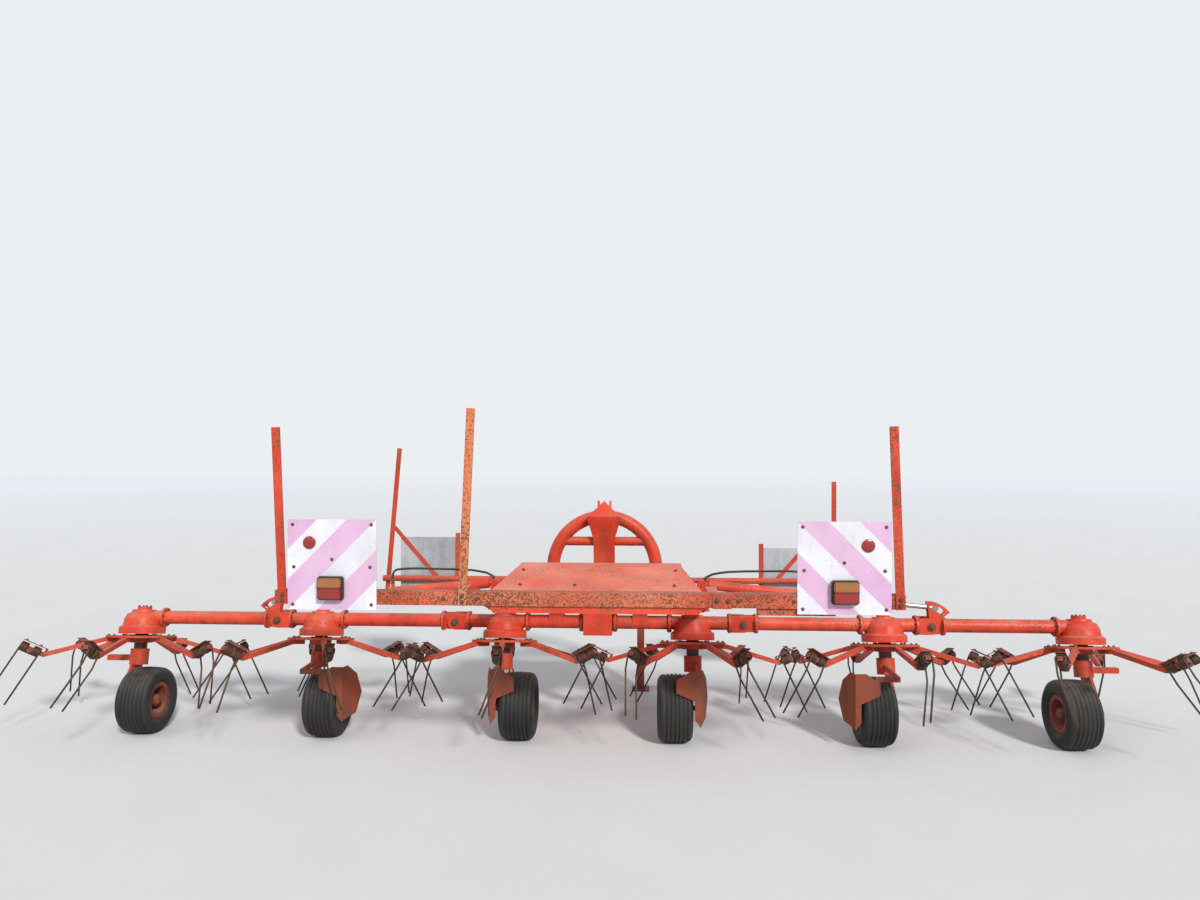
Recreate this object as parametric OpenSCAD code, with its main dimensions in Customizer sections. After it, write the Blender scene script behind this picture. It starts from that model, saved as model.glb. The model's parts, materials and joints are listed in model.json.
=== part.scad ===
// Six-rotor mounted hay tedder, standing unfolded on its wheels and its parking leg.
// +X runs along the rotor beam to the machine's right, +Y is the driving direction and +Z is up.
// The origin is on the ground under the middle of the machine. Lengths are millimetres.

/* [Layout] */
// Distance between neighbouring rotor axes
rotor_spacing = 1125; // [1080:5:1200]
// Forward lean of every rotor axis, in degrees
rotor_lean = 12; // [10:0.5:13]
// Distance from the middle to the inner hinges
inner_hinge = 860; // [840:5:880]
// Distance from the middle to the outer hinges
outer_hinge = 1950; // [1930:5:1970]
// Distance from the rotor line forward to the headstock
headstock_ahead = 790; // [760:10:860]
// Distance from the rotor line back to the guard bar
guard_back = 1170; // [1140:10:1200]

/* [Beam] */
// Outer radius of the beam tubes
beam_r = 40; // [34:1:44]
// Radius of the bolted flanges on the beams
flange_r = 58; // [52:1:60]
// Thickness of a flange
flange_t = 14; // [8:1:20]
// Distance from a hinge axis to the flanges on either side
hinge_reach = 70; // [66:1:80]
// Radius of the rounded hinge ears
ear_r = 46; // [40:1:50]
// Thickness of one hinge ear
ear_t = 16; // [10:1:20]
// Radius of a hinge pin
hinge_pin_r = 14; // [10:1:18]

/* [Rotor case] */
// Radius of the bell-shaped gear case
case_r = 130; // [110:1:140]
// Depth of the case below the beam's centre line
case_drop = 100; // [90:1:105]
// Height of the case above the beam's centre line
case_rise = 62; // [52:1:66]
// Radius of the fixed column that carries the wheel
column_r = 37; // [28:1:38]
// Depth of the column's lower end
column_drop = 272; // [262:1:280]

/* [Rotor] */
// Number of tine arms on a rotor
arm_count = 6; // [5:1:7]
// Turn of the odd rotors' arms from the beam, in degrees
lead_phase = 35; // [30:1:40]
// Radius of the rotor disc
disc_r = 195; // [170:5:210]
// Thickness of the rotor disc
disc_t = 12; // [8:1:14]
// Depth of the disc's middle below the beam's centre line
disc_drop = 118; // [116:1:122]
// Width of a tine arm
arm_w = 28; // [26:1:40]
// Thickness of a tine arm
arm_t = 26; // [22:1:28]
// Radius at which an arm is bent
bend_r = 500; // [470:5:510]
// Depth of the bend below the beam's centre line
bend_drop = 224; // [210:1:230]
// Length of the arm's raised end plate
end_l = 135; // [130:1:150]
// Width of the end plate
end_w = 52; // [48:1:70]
// Thickness of the end plate
end_t = 4; // [3:0.5:6]
// Rise of the end plate, in degrees
end_rise = 25; // [22:1:28]

/* [Tines] */
// Radius of the tine wire
wire_r = 4.75; // [4:0.25:5.5]
// Outer radius of a tine's coil
coil_r = 29; // [28:1:34]
// Length of one coil
coil_l = 46; // [36:1:48]
// Clear gap between the two coils of a double tine
coil_gap = 24; // [20:1:30]
// Length of a tine's leg below its coil
leg_l = 325; // [290:5:330]
// Backward slant of the legs, in degrees
leg_lag = 15; // [6:1:16]

/* [Wheels] */
// Radius of the tyre
tyre_r = 190; // [180:1:195]
// Depth of a column's lower end below the top of its tyre
column_sink = 9; // [4:1:12]
// Width of the tyre
tyre_w = 200; // [180:2:205]
// Radius of the rim's bead seat
rim_r = 104; // [98:1:110]
// Radius of the wheel's stub axle
axle_r = 15; // [10:1:16]
// Distance from the column's lower end back to the axle, level with the ground
trail = 152; // [145:1:160]
// Sideways offset of the outer wheels
outer_offset = 140; // [130:1:150]
// Sideways offset of the inner wheels
inner_offset = 112; // [108:1:120]

/* [Centre frame] */
// Distance from the middle to each long frame member
frame_half = 355; // [345:5:365]
// Width of a long frame member
frame_w = 70; // [50:2:70]
// Rise of the long members' underside above the beam's centre line
frame_rise = 76; // [71:1:83]
// Height of a long member
frame_h = 64; // [60:2:70]
// Height of the lower hitch pins
hitch_z = 660; // [650:5:670]
// Side of the square hitch crossbar
hitch_bar = 80; // [70:2:90]
// Half the length of the hitch crossbar
hitch_half = 405; // [400:1:415]
// Mast height, from the lower pins up to the top link pin
mast_h = 610; // [600:5:630]
// Centreline radius of the round headstock arch
arch_r = 355; // [345:5:365]
// Radius of the arch tube
arch_tube_r = 44; // [38:1:48]
// Radius of the arch's legs, which pass through the crossbar
arch_leg_r = 36; // [30:1:38]

/* [Guard and boards] */
// Side of the square guard bar
guard_bar = 64; // [54:2:70]
// Wall of the guard bar
guard_wall = 5; // [3:0.5:8]
// Rise of the guard bar's middle above the beam's centre line
guard_rise = 347; // [333:1:383]
// Half the length of the guard bar
guard_half = 1462; // [1400:10:1480]
// Side of a square warning board
board_side = 423; // [400:1:440]
// Thickness of a warning board
board_t = 4; // [3:0.5:6]
// Distance from the guard bar's end to a rear board's centre
board_in = 276; // [250:1:282]
// Thickness of the hood plate
hood_t = 4; // [3:0.5:6]

/* [Lift cylinders] */
// Distance from the middle to a cylinder's base pin
lift_x = 620; // [590:1:620]
// Rise of the base pin above the beam's centre line
lift_rise = 230; // [223:1:238]
// Radius of the barrel
barrel_r = 29; // [24:1:32]
// Length of the barrel
barrel_l = 660; // [640:5:680]
// Radius of the piston rod
rod_r = 15; // [12:1:17]
// Height of the lever's pin above the hinge axis
lever_h = 105; // [98:1:110]
// Distance from the hinge axis out to the lever's pin
lever_out = 30; // [25:1:35]

/* [Hidden] */
$fn = 48;

PAINT = [0.78, 0.16, 0.10];
RUSTY = [0.55, 0.20, 0.12];
STEEL = [0.30, 0.27, 0.25];
BLACK = [0.08, 0.08, 0.08];
WHITE = [0.90, 0.88, 0.90];

// Running gap round a shaft or column, and the seat gap between resting pieces
run = 0.5;
seat = 0.3;
// Gap between sliding cheeks
cheek = 4;

// Height of the beam's centre line
beam_height = round(2 * tyre_r - column_sink + column_drop * cos(rotor_lean));
frame_low = beam_height + frame_rise;
guard_z = beam_height + guard_rise;
lift_z = beam_height + lift_rise;

lamp_d = 46;
rack_y = 880;
rack_r = 21;
rear_reach = guard_back + guard_bar / 2 + board_t + lamp_d + 2 * seat;
front_reach = rack_y + rack_r + board_t + seat + 8;
line_y = (rear_reach - front_reach) / 2;
// The outer rotors' arms stand at different angles, so the middle of the width is beside the machine's middle
line_x = -50.95;
frame_top = frame_low + frame_h;
pitch = 360 / arm_count;

function rotor_x(i) = line_x + (i - 3.5) * rotor_spacing;
function side(i) = i < 3.5 ? -1 : 1;
function odd(i) = i % 2 == 1;
function phase(i) = odd(i) ? lead_phase : pitch / 2 - lead_phase;
function spin(i) = odd(i) ? 1 : -1;
function is_outer(i) = i == 1 || i == 6;

// Places its children in a rotor's own frame, with +Z up along the leaning axis
module at_rotor(i)
    translate([rotor_x(i), line_y, beam_height]) rotate([-rotor_lean, 0, 0]) children();

// Places its children on the beam's centre line, seen from the rotor line
module at_line(x = 0, z = 0) translate([line_x + x, line_y, z]) children();

module bar_x(x0, x1, r) translate([min(x0, x1), 0, 0]) rotate([0, 90, 0]) cylinder(h = abs(x1 - x0), r = r);

module pin_y(y0, y1, r) translate([0, y1, 0]) rotate([90, 0, 0]) cylinder(h = y1 - y0, r = r);

module mirrored() {
    children();
    mirror([1, 0, 0]) children();
}

// Bell-shaped gear case with its cap, and the fixed column below it
module gear_case() {
    rotate([0, 0, 90]) rotate_extrude() polygon([
        [0, -case_drop], [case_r, -case_drop], [case_r, -62], [case_r - 8, -54], [case_r - 18, -50],
        [case_r - 24, -8], [case_r - 38, 20], [case_r - 60, 30], [case_r - 64, 45], [40, 47], [40, case_rise],
        [0, case_rise]
    ]);
    translate([0, 0, -column_drop]) cylinder(h = column_drop - case_drop + 1, r = column_r);
}

// Two outer ears of a hinge, reaching from a flange to the hinge axis at x = 0
module outer_ears(dir) {
    for (y = [-1, 1])
        translate([0, y * (ear_mid + cheek / 2 + ear_t / 2), 0]) difference() {
            union() {
                pin_y(-ear_t / 2, ear_t / 2, ear_r);
                translate([dir > 0 ? 0 : -hinge_reach, -ear_t / 2, -ear_r])
                    cube([hinge_reach, ear_t, 2 * ear_r]);
            }
            pin_y(-ear_t, ear_t, hinge_pin_r + run);
        }
}

// The two inner ears with the pin through them, reaching from the hinge axis to a flange
module inner_ears(dir) {
    for (y = [-1, 1])
        translate([0, y * (ear_mid - cheek / 2 - ear_t / 2), 0]) {
            pin_y(-ear_t / 2, ear_t / 2, ear_r);
            translate([dir > 0 ? 0 : -hinge_reach, -ear_t / 2, -ear_r])
                cube([hinge_reach, ear_t, 2 * ear_r]);
        }
    pin_y(-ear_mid - ear_t - 10, ear_mid + ear_t + 10, hinge_pin_r);
}
ear_mid = 32;

module flange_x(x, t = flange_t) bar_x(x, x + t, flange_r);

module centre_beam() color(PAINT) {
    at_line(0, beam_height) {
        end_x = inner_hinge - hinge_reach;
        bar_x(-end_x, end_x, beam_r);
        for (s = [-1, 1]) {
            translate([s * inner_hinge, 0, 0]) outer_ears(-s);
            flange_x(s > 0 ? end_x - flange_t : -end_x);
            flange_x(s * (rotor_spacing / 2 - case_r - 8) - flange_t / 2);
            flange_x(s * 100 - flange_t / 2);
        }
        translate([-85, -95, -62]) cube([170, 190, 132]);
        mirrored() translate([saddle_x - 45, -40, 0]) cube([90, 80, frame_low - beam_height]);
        rotate([-90, 0, 0]) cylinder(h = 190, r = 48);
        rotate([-90, 0, 0]) cylinder(h = input_reach, r = input_r);
    }
    for (i = [3, 4]) at_rotor(i) gear_case();
}
input_r = 17.45;
input_reach = 285;
saddle_x = 250;

// Beam of one wing from its inner hinge to its next hinge or its end case, with the rotor case on it
module inner_beam(s) color(PAINT) {
    at_line(0, beam_height) {
        x0 = inner_hinge + hinge_reach;
        x1 = outer_hinge - hinge_reach;
        bar_x(s * x0, s * x1, beam_r);
        translate([s * inner_hinge, 0, 0]) inner_ears(s);
        translate([s * outer_hinge, 0, 0]) outer_ears(-s);
        flange_x(s > 0 ? x0 : -x0 - flange_t);
        flange_x(s > 0 ? x1 - flange_t : -x1);
        flange_x(s * (1.5 * rotor_spacing - case_r - 8) - flange_t / 2);
    }
    at_rotor(s < 0 ? 2 : 5) gear_case();
}

module outer_beam(s) color(PAINT) {
    at_line(0, beam_height) {
        x0 = outer_hinge + hinge_reach;
        bar_x(s * x0, s * 2.5 * rotor_spacing, beam_r);
        translate([s * outer_hinge, 0, 0]) {
            inner_ears(s);
            lever(s);
        }
        flange_x(s > 0 ? x0 : -x0 - flange_t);
        flange_x(s * (2.5 * rotor_spacing - case_r - 8) - flange_t / 2);
    }
    at_rotor(s < 0 ? 1 : 6) gear_case();
}

lever_r = norm([lever_out, lever_h]);
lever_at = atan2(lever_h, lever_out);
slot_half = 15;
slot_step = 0.5;
lever_edge = 15;
outer_up = 25;
outer_down = 8;
lift_pin_r = 12;
lift_pin_half = 15;
lever_gap = 1;
lever_t = 8;

// Sector with a curved slot for the lift rod's pin, so that the outer beam can follow the ground by itself
module lever(s) mirror([s < 0 ? 1 : 0, 0, 0]) for (y = [-1, 1])
    translate([0, y * (lift_pin_half + lever_gap + lever_t / 2), 0]) rotate([90, 0, 0])
        linear_extrude(lever_t, center = true) difference() {
            sector(hinge_pin_r + 16, lever_r + slot_half + lever_edge,
                lever_at - outer_up - 14, lever_at + outer_down + 14);
            sector(lever_r - slot_half, lever_r + slot_half,
                lever_at - outer_up - 2, lever_at + outer_down + 2);
            for (a = [lever_at - outer_up - 2, lever_at + outer_down + 2])
                rotate(a) translate([lever_r, 0]) circle(r = slot_half - slot_step);
        }

module sector(r0, r1, a0, a1) intersection() {
    difference() {
        circle(r = r1);
        circle(r = r0);
    }
    polygon([[0, 0], for (k = [0:4]) 2 * r1 * [cos(a0 + (a1 - a0) * k / 4), sin(a0 + (a1 - a0) * k / 4)]]);
}

module rotor(i) color(PAINT) at_rotor(i) {
    difference() {
        union() {
            translate([0, 0, -disc_drop - disc_t / 2]) cylinder(h = disc_t, r = disc_r);
            translate([0, 0, -disc_drop - 36]) cylinder(h = 36 + disc_drop - case_drop - 6, r = 62);
            for (k = [0:arm_count - 1]) rotate([0, 0, phase(i) + k * pitch]) arm();
        }
        translate([0, 0, -disc_drop - 60]) cylinder(h = 120, r = column_r + run);
    }
}

arm_root_r = 120;
arm_drop = disc_drop + disc_t / 2 + arm_t / 2 - 1;
coil_at = 77;
cover_rise = 34;
cover_foot_w = 20;
function unit(v) = v / norm(v);
function left(v) = [-v[1], v[0]];
function corner(p, k, t) = let (n = len(p), a = unit(k > 0 ? p[k] - p[k - 1] : p[1] - p[0]),
    b = k < n - 1 ? unit(p[k + 1] - p[k]) : a, m = unit(left(a) + left(b))) m * t / 2 / (m * left(a));
// Outline of a bent strip of thickness t along the points p
function strip(p, t) = concat([for (k = [0:len(p) - 1]) p[k] + corner(p, k, t)],
    [for (k = [len(p) - 1:-1:0]) p[k] - corner(p, k, t)]);

// One tine arm along +X: a square bar that falls from the disc and rises through the coils, and a cover plate
module arm() {
    translate([0, arm_w / 2, 0]) rotate([90, 0, 0]) linear_extrude(arm_w) polygon(strip([
        [arm_root_r, -arm_drop], [disc_r + 5, -arm_drop], [bend_r, -bend_drop],
        [bend_r + end_l * cos(end_rise), -bend_drop + end_l * sin(end_rise)]
    ], arm_t));
    at_arm_end() {
        translate([-8, -end_w / 2, cover_rise]) cube([end_l + 6, end_w, end_t]);
        translate([-8, -cover_foot_w / 2, 2]) cube([12, cover_foot_w, cover_rise - 1]);
    }
}

// Frame of the arm's rising end: +X along the bar's centre line from the bend
module at_arm_end() translate([bend_r, 0, -bend_drop]) rotate([0, -end_rise, 0]) children();

coil_bore = 20;
coil_half = coil_gap / 2 + coil_l;
module tines(i) color(STEEL) at_rotor(i)
    for (k = [0:arm_count - 1]) rotate([0, 0, phase(i) + k * pitch]) at_arm_end()
        translate([coil_at, 0, 0]) double_tine(-spin(i));

// Two coils round the arm, joined by the clamp under it, each with a leg that slants to the trailing side
module double_tine(trailing) {
    wire_in = 0.4;
    for (x = [-1, 1]) {
        translate([x * (coil_gap + coil_l) / 2, 0, 0]) difference() {
            bar_x(-coil_l / 2, coil_l / 2, coil_r);
            bar_x(-coil_l, coil_l, coil_bore);
        }
        length = leg_l + (x > 0 ? outer_leg_more : 0);
        translate([x * (coil_half - wire_r - wire_in), 0, 0]) rotate([trailing * leg_lag, 0, 0])
            translate([0, -trailing * (coil_r - wire_r - wire_in), -length]) cylinder(h = length, r = wire_r);
    }
    translate([-coil_gap / 2 - 2, -15, -arm_t / 2 - 6]) cube([coil_gap + 4, 30, 6]);
}
outer_leg_more = 20;

// Wheel centre beside a rotor's column
function wheel_side(i) = -side(i) * (is_outer(i) ? outer_offset : inner_offset);
column_end_y = -column_drop * sin(rotor_lean);
column_end_z = beam_height - column_drop * cos(rotor_lean);
axle_y = column_end_y - trail;
axle_z = tyre_r;

module at_wheel(i) translate([rotor_x(i) + wheel_side(i), line_y + axle_y, axle_z]) children();

collar_h = 82;
collar_wall = 15;
collar_floor = 12;
fork_in = 6;
fork_t = 14;
hub_half = 62;

// Swivelling wheel mount: a collar round the column's end, a side plate and the stub axle
module fork(i) color(PAINT) {
    s = side(i);
    difference() {
        union() {
            at_rotor(i) translate([0, 0, -column_drop - seat - collar_floor])
                cylinder(h = collar_h + collar_floor, r = column_r + collar_wall);
            translate([rotor_x(i) + s * (fork_in + fork_t / 2), line_y, 0]) rotate([90, 0, 90])
                linear_extrude(fork_t, center = true) polygon(fork_outline());
            if (!is_outer(i)) wheel_plate(i);
        }
        at_rotor(i) translate([0, 0, -column_drop - seat]) cylinder(h = column_drop, r = column_r + run);
    }
    translate([rotor_x(i), line_y + axle_y, axle_z])
        bar_x(s * (fork_in + fork_t + 6), wheel_side(i) - s * hub_half, axle_r);
    if (is_outer(i)) translate([rotor_x(i), line_y + column_end_y, column_end_z + 14])
        mirror([s < 0 ? 1 : 0, 0, 0]) translate([arm_in, -arm_side / 2, 0])
            cube([arm_out - arm_in, arm_side, arm_side]);
}

// Stub arm beside an outer wheel's column
arm_in = 40;
arm_out = 190;
arm_side = 30;

// Side view of the fork's plate, as [y, z]
function fork_outline() = [
    [column_end_y + 46, column_end_z + 24], [column_end_y - 40, column_end_z + 44],
    [column_end_y - 66, column_end_z - 14], [axle_y - 36, axle_z + 14], [axle_y - 28, axle_z - 26],
    [axle_y + 26, axle_z - 32], [axle_y + 44, axle_z], [column_end_y + 54, column_end_z - 30]
];

plate_t = 4;
plate_low = axle_z - 60;
plate_top = column_end_z + 70;
plate_back = 165;
plate_in = 95;
plate_out = 40;
plate_reach = 200;
plate_flare = 15;
plate_bar_z = column_end_z + 27;
plate_bar_h = 28;
plate_bar_t = 14;
// Bent sheet that keeps hay off an inner wheel: one panel behind the tyre's shoulder and one along its side
module wheel_plate(i) {
    outward = i == 3 || i == 4;
    s = outward ? side(i) : -side(i);
    face = outward ? tyre_w / 2 - inner_offset : tyre_w / 2 + inner_offset;
    bar_end = max(8 + plate_bar_t, face - plate_in + 24);
    translate([rotor_x(i), line_y, 0]) mirror([s < 0 ? 1 : 0, 0, 0]) {
        translate([face, axle_y - plate_back, 0]) {
            rotate([90, 0, 0]) linear_extrude(plate_t, center = true) polygon([
                [plate_out, plate_low], [plate_out, plate_top], [-20, plate_top], [-plate_in, plate_top - 50],
                [-plate_in, axle_z + 130], [8, axle_z + 85], [8, plate_low + 40]
            ]);
            translate([plate_out - 3, 0, 0]) rotate([90, 0, 90 - plate_flare])
                linear_extrude(plate_t, center = true) polygon([
                    [0, plate_low + 4], [0, plate_top - 4], [60, plate_top - 4], [150, plate_top - 70],
                    [plate_reach, plate_top - 190], [140, plate_low + 14]
                ]);
        }
        translate([8, axle_y - plate_back, plate_bar_z])
            cube([plate_bar_t, column_end_y - column_r - 6 - axle_y + plate_back, plate_bar_h]);
        translate([8, axle_y - plate_back, plate_bar_z]) cube([bar_end - 8, plate_bar_t, plate_bar_h]);
    }
}

module rim(i) color(RUSTY) at_wheel(i) rotate([0, 90, 0]) rotate_extrude() polygon([
    [axle_r + run, -hub_half], [34, -hub_half], [34, -20], [82, -14], [82, -tyre_w / 2 + 24],
    [rim_r - seat, -tyre_w / 2 + 24], [rim_r - seat, tyre_w / 2 - 24], [82, tyre_w / 2 - 24],
    [82, -4], [34, -8], [34, hub_half], [axle_r + run, hub_half]
]);

module tyre(i) color(BLACK) at_wheel(i) rotate([0, 90, 0]) rotate_extrude() polygon([
    [rim_r, -tyre_w / 2 + 30], [rim_r + 10, -tyre_w / 2 + 18], [rim_r + 34, -tyre_w / 2],
    [tyre_r - 30, -tyre_w / 2], [tyre_r - 8, -tyre_w / 2 + 16], [tyre_r, -tyre_w / 2 + 40],
    [tyre_r, tyre_w / 2 - 40], [tyre_r - 8, tyre_w / 2 - 16], [tyre_r - 30, tyre_w / 2],
    [rim_r + 34, tyre_w / 2], [rim_r + 10, tyre_w / 2 - 18], [rim_r, tyre_w / 2 - 30]
]);

// Cross tube on the beam's saddles, the long members, the hitch crossbar and the guard's two arms
module centre_frame() color(PAINT) at_line() {
    front = headstock_ahead;
    translate([-cross_half, -cross_w / 2, frame_low]) cube([2 * cross_half, cross_w, frame_h]);
    mirrored() {
        translate([frame_half - frame_w / 2, cross_w / 2 - 1, frame_low])
            cube([frame_w, front - hitch_bar / 2 - cross_w / 2 + 2, frame_w]);
        lift_bracket();
        translate([guard_arm_x, 0, 0]) rotate([90, 0, 90])
            linear_extrude(guard_arm, center = true) polygon(strip([
                [-cross_w / 2 + 1, frame_low + frame_h / 2], [-cross_w / 2 - 60, frame_low + frame_h / 2],
                [-guard_back + guard_bar / 2 + 190, guard_z], [-guard_back + guard_bar / 2 + seat, guard_z]
            ], guard_arm));
        translate([hood_foot_x, 0, 0]) rotate([90, 0, 90])
            linear_extrude(hood_foot_w, center = true) polygon([
                for (y = [-1, 1] * hood_foot_w / 2) [y, frame_top - 1],
                for (y = [1, -1] * hood_foot_w / 2) [y, hood_low(y)]
            ]);
    }
    difference() {
        translate([-hitch_half, front - hitch_bar / 2, frame_low])
            cube([2 * hitch_half, hitch_bar, hitch_bar]);
        translate([0, front, 0]) mirrored() translate([arch_r, 0, frame_low - 1])
            cylinder(h = hitch_bar + 2, r = arch_leg_r + seat);
    }
    leg_ears();
}
cross_half = 660;
cross_w = 90;
guard_arm = 50;
guard_arm_x = 600;
hood_foot_x = 250;
hood_foot_w = 40;
lower_pin_r = 14.2;

// Two plates on the cross tube's top that hold a lift cylinder's base pin
module lift_bracket() {
    for (y = [-1, 1]) translate([0, y * 22, 0]) difference() {
        rotate([90, 0, 0]) linear_extrude(8, center = true) polygon([
            [lift_x - 50, frame_top - 1], [lift_x - 24, lift_z + 10], [lift_x - 12, lift_z + 26],
            [lift_x + 12, lift_z + 26], [lift_x + 24, lift_z + 10], [lift_x + 38, frame_top - 1]
        ]);
        translate([lift_x, 0, lift_z]) pin_y(-12, 12, lift_pin_r + run);
    }
}

leg_square = 50;
leg_x = 250;
leg_ahead = 50;
leg_foot_back = 40;
leg_pivot_z = frame_low + 20;
leg_pin_r = 12;
foot_l = 120;

// Swinging leg: a pin through two ears, the square tube and the foot, which stands a little behind the pin
module parking_leg() color(RUSTY) at_line() at_leg_pin() {
    translate([0, 0, leg_pivot_z]) bar_x(-leg_square / 2 - 22, leg_square / 2 + 22, leg_pin_r);
    rotate([90, 0, 90]) linear_extrude(leg_square, center = true) polygon(strip([
        [leg_foot_back / leg_pivot_z * 30, leg_pivot_z + 30], [-leg_foot_back, 6]
    ], leg_square));
    translate([-foot_l / 2, -leg_foot_back - foot_l / 2, 0]) cube([foot_l, foot_l, 8]);
}

module at_leg_pin() translate([leg_x, headstock_ahead + hitch_bar / 2 + leg_ahead, 0]) children();

module leg_ears() at_leg_ears() difference() {
    translate([-6, -2, leg_pivot_z - 30]) cube([12, leg_ahead + 30, 60]);
    translate([0, leg_ahead, leg_pivot_z]) bar_x(-7, 7, leg_pin_r + run);
}

module at_leg_ears() for (s = [-1, 1])
    translate([leg_x + s * (leg_square / 2 + 10), headstock_ahead + hitch_bar / 2, 0]) children();

mast_half = 46;
mast_t = 12;
arch_z = beam_height + 213;
top_pin_z = hitch_z + mast_h;
top_pin_r = 12.8;

// Round arch through the crossbar, its legs with the lower hitch pins, and the mast plates for the top link
module headstock() color(PAINT) at_line() translate([0, headstock_ahead, 0]) {
    bar_top = frame_low + hitch_bar + seat;
    translate([0, 0, arch_z]) rotate([90, 0, 0]) rotate_extrude(angle = 180)
        translate([arch_r, 0]) circle(r = arch_tube_r);
    mirrored() {
        translate([arch_r, 0, bar_top]) cylinder(h = arch_z - bar_top, r = arch_tube_r);
        translate([arch_r, 0, hitch_z - 34]) cylinder(h = bar_top - hitch_z + 40, r = arch_leg_r);
        translate([arch_r, 0, hitch_z]) {
            bar_x(-arch_leg_r - 14, lower_pin_l, lower_pin_r);
            bar_x(0, arch_leg_r + 6, lower_pin_r + 8);
        }
        mast_plate();
    }
    translate([0, 0, arch_z + cross_bar_up]) bar_x(-cross_bar_half, cross_bar_half, cross_bar_r);
    mast_cover();
}

cover_t = 8;
// Front view of the cover's right half, from its peak down to its foot
COVER = [
    [0, top_pin_z + 46], [117, top_pin_z - 62], [110, top_pin_z - 88],
    [73, top_pin_z - 215], [73, arch_z + 30]
];
// Bent plate behind the mast: a neck that widens to a peaked cap over the arch's top
module mast_cover() intersection() {
    rotate([90, 0, 90]) linear_extrude(300, center = true) polygon(strip([
        [-38, arch_z + 40], [-74, top_pin_z - 170], [-100, top_pin_z - 60], [-42, top_pin_z + 47]
    ], cover_t));
    rotate([90, 0, 0]) linear_extrude(300, center = true) polygon([
        for (p = COVER) p,
        for (k = [len(COVER) - 1:-1:1]) [-COVER[k][0], COVER[k][1]]
    ]);
}
lower_pin_l = arch_leg_r + 100;
cross_bar_r = 31;
cross_bar_up = 185;
cross_bar_half = sqrt(pow(arch_r, 2) - pow(cross_bar_up, 2));

module mast_plate() let (foot_z = frame_low + hitch_bar + seat) difference() {
    translate([mast_half - mast_t / 2, 0, 0]) rotate([90, 0, 90])
        linear_extrude(mast_t, center = true) polygon([
            [-34, foot_z], [34, foot_z], [54, top_pin_z - 60], [54, top_pin_z + 20],
            [30, top_pin_z + 44], [-40, top_pin_z + 44], [-96, top_pin_z - 60], [-70, top_pin_z - 170]
        ]);
    translate([0, 20, top_pin_z]) bar_x(mast_half - mast_t - 1, mast_half + 1, top_pin_r);
}

hood_rear = -250;
hood_knee = 150;
hood_front = 330;
hood_rear_low = beam_height + 223;
hood_knee_low = beam_height + 306;
hood_half_rear = 610;
hood_half_knee = 507;
// Height of the hood's underside above the beam line, y from the rotor line
function hood_low(y) = hood_rear_low
    + (y - hood_rear) * (hood_knee_low - hood_rear_low) / (hood_knee - hood_rear);

// Bent sheet cover over the middle: it slopes up from the rear and runs level to the front
module hood() color(PAINT) at_line() intersection() {
    rotate([90, 0, 90]) linear_extrude(2 * hood_half_rear, center = true) polygon(strip([
        [hood_rear, hood_rear_low + hood_t / 2 + seat - 26], [hood_rear, hood_rear_low + hood_t / 2 + seat],
        [hood_knee, hood_knee_low + hood_t / 2 + seat], [hood_front, hood_knee_low + hood_t / 2 + seat],
        [hood_front, hood_knee_low + hood_t / 2 + seat - 40]
    ], hood_t));
    linear_extrude(hood_knee_low + 100) polygon([
        [-hood_half_rear, hood_rear - 20], [hood_half_rear, hood_rear - 20], [hood_half_knee, hood_knee],
        [hood_half_knee, hood_front + 20], [-hood_half_knee, hood_front + 20], [-hood_half_knee, hood_knee]
    ]);
}

low_bar = 36;
// Stiffeners under the guard bar. Columns: left end, right end, slope of the ends
LOW_BARS = [[-455, 555, 26], [796, guard_half - 311, 0]];
module guard_bar() color(RUSTY) at_line() translate([0, -guard_back, guard_z]) difference() {
    union() {
        translate([-guard_half, -guard_bar / 2, -guard_bar / 2])
            cube([2 * guard_half, guard_bar, guard_bar]);
        for (b = LOW_BARS) translate([0, low_bar / 2, 1 - guard_bar / 2]) rotate([90, 0, 0])
            linear_extrude(low_bar) polygon([
                [b[0], 0], [b[0] + b[2], -low_bar], [b[1] - b[2], -low_bar], [b[1], 0]
            ]);
    }
    translate([-guard_half - 1, -guard_bar / 2 + guard_wall, -guard_bar / 2 + guard_wall])
        cube([2 * guard_half + 2, guard_bar - 2 * guard_wall, guard_bar - 2 * guard_wall]);
}

post_w = 40;
post_t = 8;
// Rear posts. Columns: x, rise of the top above the guard bar's middle, sideways lean in degrees
POSTS = [[-guard_half + 40, 801, -2.2], [-guard_arm_x + 30, 888, 2.6], [guard_half - 24, 801, -2.2]];

module rear_posts() color(PAINT) at_line() for (p = POSTS)
    translate([p[0], -guard_back - guard_bar / 2 - seat - post_t, guard_z - guard_bar / 2])
        rotate([0, p[2], 0]) translate([-post_w / 2, 0, 0]) cube([post_w, post_t, p[1] + guard_bar / 2]);

board_x = guard_half - board_in;
rear_board_low = beam_height + 291;
module rear_boards() color(WHITE) at_line() mirrored()
    translate([board_x - board_side / 2, -guard_back - guard_bar / 2 - seat - board_t, rear_board_low])
        cube([board_side, board_t, board_side]);

lamp_w = 122;
lamp_h = 110;
lamp_z = rear_board_low + 104;
module tail_lamps() color([0.7, 0.15, 0.05]) at_line() mirrored()
    translate([board_x, -guard_back - guard_bar / 2 - 2 * seat - board_t - lamp_d, lamp_z])
        translate([-lamp_w / 2, 0, -lamp_h / 2]) cube([lamp_w, lamp_d, lamp_h]);

rack_z = frame_low + hitch_bar / 2;
board_bar = 32;
// Front boards. Columns: side, board's centre, its lower edge, the outer post's foot, its top and its
// inward lean. Heights are taken from the rack's tube
FRONT = [[-1, 1250, -131, 1560, 927, 5], [1, 1290, -196, 1590, 692, 0]];

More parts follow.
